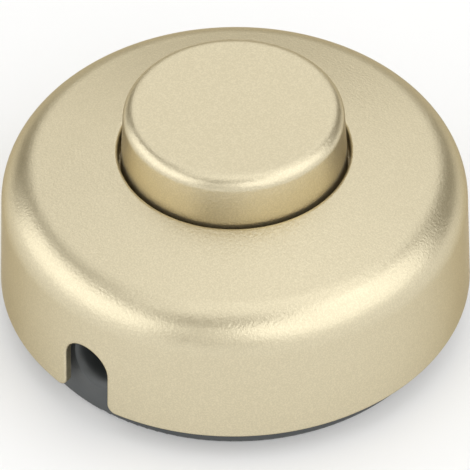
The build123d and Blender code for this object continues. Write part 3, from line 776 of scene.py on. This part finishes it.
def lacquer(finishes):
    """Satin champagne lacquer over a fine grain: metal flakes that vary in tone, and a slightly uneven
    gloss."""
    sizes = {"grain_size": 0.00038, "fine_size": 0.0002, "fine_share": 0.35}
    grain_depth = 0.00005
    fewest_flakes, most_flakes = 0.25, 0.75
    smoothest, roughest = 0.33, 0.37
    return surface(
        "champagne_lacquer",
        lambda tree: blended(
            tree,
            ranged(
                tree, effect(tree, "moulded_grain", **sizes).outputs["Fleck"], fewest_flakes, most_flakes
            ),
            finishes.lacquer_deep,
            finishes.lacquer_light,
        ),
        lambda tree: ranged(
            tree, effect(tree, "tone_drift", patch_size=0.004).outputs["Mask"], smoothest, roughest
        ),
        lambda tree: bumped(tree, effect(tree, "moulded_grain", **sizes).outputs["Height"], grain_depth),
        Metallic=0.95,
        **{"Specular Tint": (*finishes.lacquer_edge, 1)},
    )


def moulded(name, shade, grain_size, depth, roughness, **constants):
    """Moulded plastic or rubber: a fine grain, a slow drift of tone and an uneven gloss."""
    sizes = {"grain_size": grain_size, "fine_size": grain_size / 2.5}
    uneven = 0.05
    return surface(
        name,
        lambda tree: blended(tree, effect(tree, "tone_drift").outputs["Mask"], darker(shade, 0.92), shade),
        lambda tree: ranged(
            tree,
            effect(tree, "tone_drift", patch_size=0.005).outputs["Mask"],
            roughness - uneven,
            roughness + uneven,
        ),
        lambda tree: bumped(tree, effect(tree, "moulded_grain", **sizes).outputs["Height"], depth),
        **constants,
    )


def metal(name, shade, roughness):
    """Bare or plated metal: drawing lines in its gloss and relief, and a darker bloom of handling."""
    line_depth = 0.000004
    smoother, rougher = 0.08, 0.1
    return surface(
        name,
        lambda tree: blended(tree, effect(tree, "metal_lines").outputs["Bloom"], darker(shade, 0.85), shade),
        lambda tree: ranged(
            tree, effect(tree, "metal_lines").outputs["Lines"], roughness - smoother, roughness + rougher
        ),
        lambda tree: bumped(tree, effect(tree, "metal_lines").outputs["Lines"], line_depth),
        Metallic=1.0,
    )


def make_materials(finishes):
    """Builds the shared effects and every material, once."""
    grain_group()
    drift_group()
    scratch_group()
    lacquer(finishes)
    moulded("housing_plastic", finishes.housing, 0.0005, 0.00002, 0.45)
    moulded("foot_rubber", finishes.rubber, 0.0003, 0.00003, 0.7)
    glow_through = {"Subsurface Weight": 0.1, "Subsurface Scale": 0.001}
    moulded("nylon", finishes.nylon, 0.0006, 0.000015, 0.4, **glow_through)
    metal("plated_steel", finishes.steel, 0.28)
    metal("brass", finishes.brass, 0.3)
    metal("spring_bronze", finishes.bronze, 0.32)
    metal("contact_silver", finishes.silver, 0.22)


def dress(node, material):
    """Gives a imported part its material."""
    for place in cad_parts[node].material_slots:
        place.material = bpy.data.materials[material]


# Operators


class FOOTSWITCH_OT_materials(bpy.types.Operator):
    """Build the lacquer, plastics, rubber and metals"""

    bl_idname = "foot_switch.materials"
    bl_label = "Materials"

    def execute(self, context):
        make_materials(context.scene.foot_switch.finishes)
        return {"FINISHED"}


class FOOTSWITCH_OT_cover(bpy.types.Operator):
    """Build the lacquered cover with its button hole, cord notches, ribs and screw posts"""

    bl_idname = "foot_switch.cover"
    bl_label = "Cover"

    def execute(self, context):
        cover = context.scene.foot_switch.cover
        shells = [cover_shell(cover)]
        shells += [screw_post(cover, cover.post_angle + turn) for turn in (0, math.pi)]
        shells += [centring_rib(cover, 2 * math.pi * rib / RIB_COUNT) for rib in range(RIB_COUNT)]
        lacquered = bpy.data.materials["champagne_lacquer"]
        make_piece("cover_shell", shells, lacquered, "housing", "cover")
        return {"FINISHED"}


class FOOTSWITCH_OT_button(bpy.types.Operator):
    """Build the lacquered button"""

    bl_idname = "foot_switch.button"
    bl_label = "Button"

    def execute(self, context):
        settings = context.scene.foot_switch
        shells = [button_shell(settings.button)]
        lacquered = bpy.data.materials["champagne_lacquer"]
        make_piece("button_shell", shells, lacquered, "push_button", "button")
        return {"FINISHED"}


class FOOTSWITCH_OT_return_spring(bpy.types.Operator):
    """Build the return spring as a helical coil with a mesh of its own"""

    bl_idname = "foot_switch.return_spring"
    bl_label = "Return Spring"

    def execute(self, context):
        shells = [coil_shell(context.scene.foot_switch.spring)]
        steel = bpy.data.materials["plated_steel"]
        coil = make_piece("return_coil", shells, steel, "housing", "return_spring")
        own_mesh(coil)
        return {"FINISHED"}


class FOOTSWITCH_OT_base(bpy.types.Operator):
    """Finish the base and its rubber feet"""

    bl_idname = "foot_switch.base"
    bl_label = "Base and Feet"

    def execute(self, context):
        dress("base", "housing_plastic")
        dress("rubber_feet", "foot_rubber")
        return {"FINISHED"}


class FOOTSWITCH_OT_mechanism(bpy.types.Operator):
    """Finish the ratchet mechanism and the cord clamps"""

    bl_idname = "foot_switch.mechanism"
    bl_label = "Mechanism"

    def execute(self, context):
        for node in ("rotor", "plunger", "mechanism_cap", "cord_clamp_in", "cord_clamp_out"):
            dress(node, "nylon")
        for node in ("pivot_pin", "pivot_clip"):
            dress(node, "plated_steel")
        dress("detent_spring", "spring_bronze")
        return {"FINISHED"}


class FOOTSWITCH_OT_contacts(bpy.types.Operator):
    """Finish the contacts, strips and terminals"""

    bl_idname = "foot_switch.contacts"
    bl_label = "Contacts and Terminals"

    def execute(self, context):
        for node in ("bridge_contacts", "fixed_contacts"):
            dress(node, "contact_silver")
        strips = ("contact_bridge", "live_in_strip", "live_out_strip")
        terminals = ("live_in_terminal", "live_out_terminal", "neutral_terminal")
        for node in strips + terminals:
            dress(node, "brass")
        return {"FINISHED"}


class FOOTSWITCH_OT_screws(bpy.types.Operator):
    """Finish the screws"""

    bl_idname = "foot_switch.screws"
    bl_label = "Screws"

    def execute(self, context):
        for node in ("mechanism_screws", "clamp_screws", "cover_screws", "terminal_screws"):
            dress(node, "plated_steel")
        return {"FINISHED"}


# Softboxes round the object: turn from the camera's azimuth, elevation, half width and half height, all in
# degrees as seen from the object, and radiance
SOFTBOXES = {
    "left": (-76, 22, 43, 22, 1.62),
    "right": (56, 31, 43, 28, 1.55),
    "overhead": (176, 52, 35, 32, 0.98),
    "top": (10, 80, 35, 18, 1.1),
    "rear": (178, 15, 28, 9, 0.45),
    "front": (-3, 22, 18, 18, 0.82),
}


def outward_from(azimuth, elevation):
    """The direction at an azimuth, counted from the inlet's side towards +X, and an elevation."""
    level = math.cos(elevation)
    return Vector((math.sin(azimuth) * level, -math.cos(azimuth) * level, math.sin(elevation)))


def add_softbox(name, azimuth, elevation, half_width, half_height, radiance, aim, studio):
    """A rectangular area lamp turned to its aim. Its power is radiance times area times pi."""
    lamp = bpy.data.lights.new(name, "AREA")
    lamp.shape = "RECTANGLE"
    lamp.size = 2 * studio.lamp_distance * math.tan(half_width)
    lamp.size_y = 2 * studio.lamp_distance * math.tan(half_height)
    lamp.energy = radiance * lamp.size * lamp.size_y * math.pi
    lamp.color = studio.lamp_tone
    box = bpy.data.objects.new(name, lamp)
    outward = outward_from(azimuth, elevation)
    box.location = aim + studio.lamp_distance * outward
    box.rotation_mode = "QUATERNION"
    box.rotation_quaternion = outward.to_track_quat("Z", "Y")
    bpy.context.scene.collection.objects.link(box)


def plain_rays(tree):
    """1 for camera, glossy and transmitted rays, which see the floor with its share of plain white, and 0
    for the rest, so that the white puts no light on the object."""
    path = add_node(tree, "ShaderNodeLightPath")
    seen = path.outputs["Is Camera Ray"]
    for ray in ("Is Glossy Ray", "Is Transmission Ray"):
        either = add_node(tree, "ShaderNodeMath", {0: seen, 1: path.outputs[ray]}, operation="MAXIMUM")
        seen = either.outputs[0]
    return seen


class FOOTSWITCH_OT_studio(bpy.types.Operator):
    """Set the floor, the soft light and the camera"""

    bl_idname = "foot_switch.studio"
    bl_label = "Studio"

    def execute(self, context):
        studio = context.scene.foot_switch.studio
        self.set_floor(studio)
        self.set_world(context.scene, studio)
        aim = Vector((0, 0, studio.aim_height))
        for name, (*angles, radiance) in SOFTBOXES.items():
            turn, elevation, half_width, half_height = map(math.radians, angles)
            azimuth = studio.azimuth + turn
            add_softbox(name, azimuth, elevation, half_width, half_height, radiance, aim, studio)
        self.set_camera(context.scene, studio, aim)
        context.scene.view_settings.view_transform = "Standard"
        return {"FINISHED"}

    def set_floor(self, studio):
        """A white floor. It keeps the object's shadow, made paler by a share of plain white."""
        half = studio.floor_size / 2
        mesh = bpy.data.meshes.new("floor")
        corners = [(-half, -half), (half, -half), (half, half), (-half, half)]
        mesh.from_pydata([(*corner, -studio.floor_drop) for corner in corners], [], [(0, 1, 2, 3)])
        floor = bpy.data.objects.new("floor", mesh)
        bpy.context.scene.collection.objects.link(floor)
        material = bpy.data.materials.new("white_floor")
        material.use_nodes = True
        tree = material.node_tree
        tree.nodes.clear()
        paper = add_node(tree, "ShaderNodeBsdfDiffuse", {"Color": (*studio.paper, 1)})
        plain = add_node(tree, "ShaderNodeEmission", {"Color": (1, 1, 1, 1), "Strength": 1.0})
        share = add_node(
            tree, "ShaderNodeMath", {0: plain_rays(tree), 1: studio.floor_glow}, operation="MULTIPLY"
        )
        look = add_node(
            tree, "ShaderNodeMixShader", {0: share.outputs[0], 1: paper.outputs[0], 2: plain.outputs[0]}
        )
        add_node(tree, "ShaderNodeOutputMaterial", {"Surface": look.outputs[0]})
        mesh.materials.append(material)

    def set_world(self, scene, studio):
        """A plain even light from all round, below that of the softboxes."""
        world = bpy.data.worlds.new("studio")
        world.use_nodes = True
        tree = world.node_tree
        tree.nodes.clear()
        light = {"Color": (*studio.world_tone, 1), "Strength": studio.world_level}
        room = add_node(tree, "ShaderNodeBackground", light)
        add_node(tree, "ShaderNodeOutputWorld", {"Surface": room.outputs["Background"]})
        scene.world = world

    def set_camera(self, scene, studio, aim):
        """A long lens aimed at the object from the front, above and to the right of the inlet."""
        camera = bpy.data.objects.new("camera", bpy.data.cameras.new("camera"))
        camera.data.lens = studio.lens
        camera.data.clip_start, camera.data.clip_end = 0.01, 10
        outward = outward_from(studio.azimuth, studio.elevation)
        right = Vector((math.cos(studio.azimuth), math.sin(studio.azimuth), 0))
        upward = outward.cross(right)
        axes = Matrix((right, upward, outward)).transposed() @ Matrix.Rotation(studio.roll, 3, "Z")
        camera.matrix_world = Matrix.Translation(aim + studio.distance * outward) @ axes.to_4x4()
        scene.collection.objects.link(camera)
        scene.camera = camera


class FOOTSWITCH_PT_panel(bpy.types.Panel):
    """Lists the operators of the foot switch in the sidebar"""

    bl_idname = "FOOTSWITCH_PT_panel"
    bl_label = "Foot Switch"
    bl_space_type = "VIEW_3D"
    bl_region_type = "UI"
    bl_category = "Foot Switch"

    def draw(self, context):
        for operator in OPERATORS:
            self.layout.operator(operator.bl_idname)


OPERATORS = (
    FOOTSWITCH_OT_materials,
    FOOTSWITCH_OT_cover,
    FOOTSWITCH_OT_button,
    FOOTSWITCH_OT_return_spring,
    FOOTSWITCH_OT_base,
    FOOTSWITCH_OT_mechanism,
    FOOTSWITCH_OT_contacts,
    FOOTSWITCH_OT_screws,
    FOOTSWITCH_OT_studio,
)
CLASSES = (
    CoverSizes,
    ButtonSizes,
    SpringSizes,
    Finishes,
    StudioSettings,
    FootSwitchSettings,
    *OPERATORS,
    FOOTSWITCH_PT_panel,
)


def register():
    """Registers the classes and adds the settings to the scene."""
    for each in CLASSES:
        bpy.utils.register_class(each)
    bpy.types.Scene.foot_switch = bpy.props.PointerProperty(
        name="Foot Switch", description="Settings of the foot switch", type=FootSwitchSettings
    )


def unregister():
    """Takes the settings and the classes away again."""
    del bpy.types.Scene.foot_switch
    for each in reversed(CLASSES):
        bpy.utils.unregister_class(each)


def main():
    """Builds the pieces in order."""
    register()
    for operator in OPERATORS:
        group, name = operator.bl_idname.split(".")
        getattr(getattr(bpy.ops, group), name)()


if __name__ == "__main__":
    main()
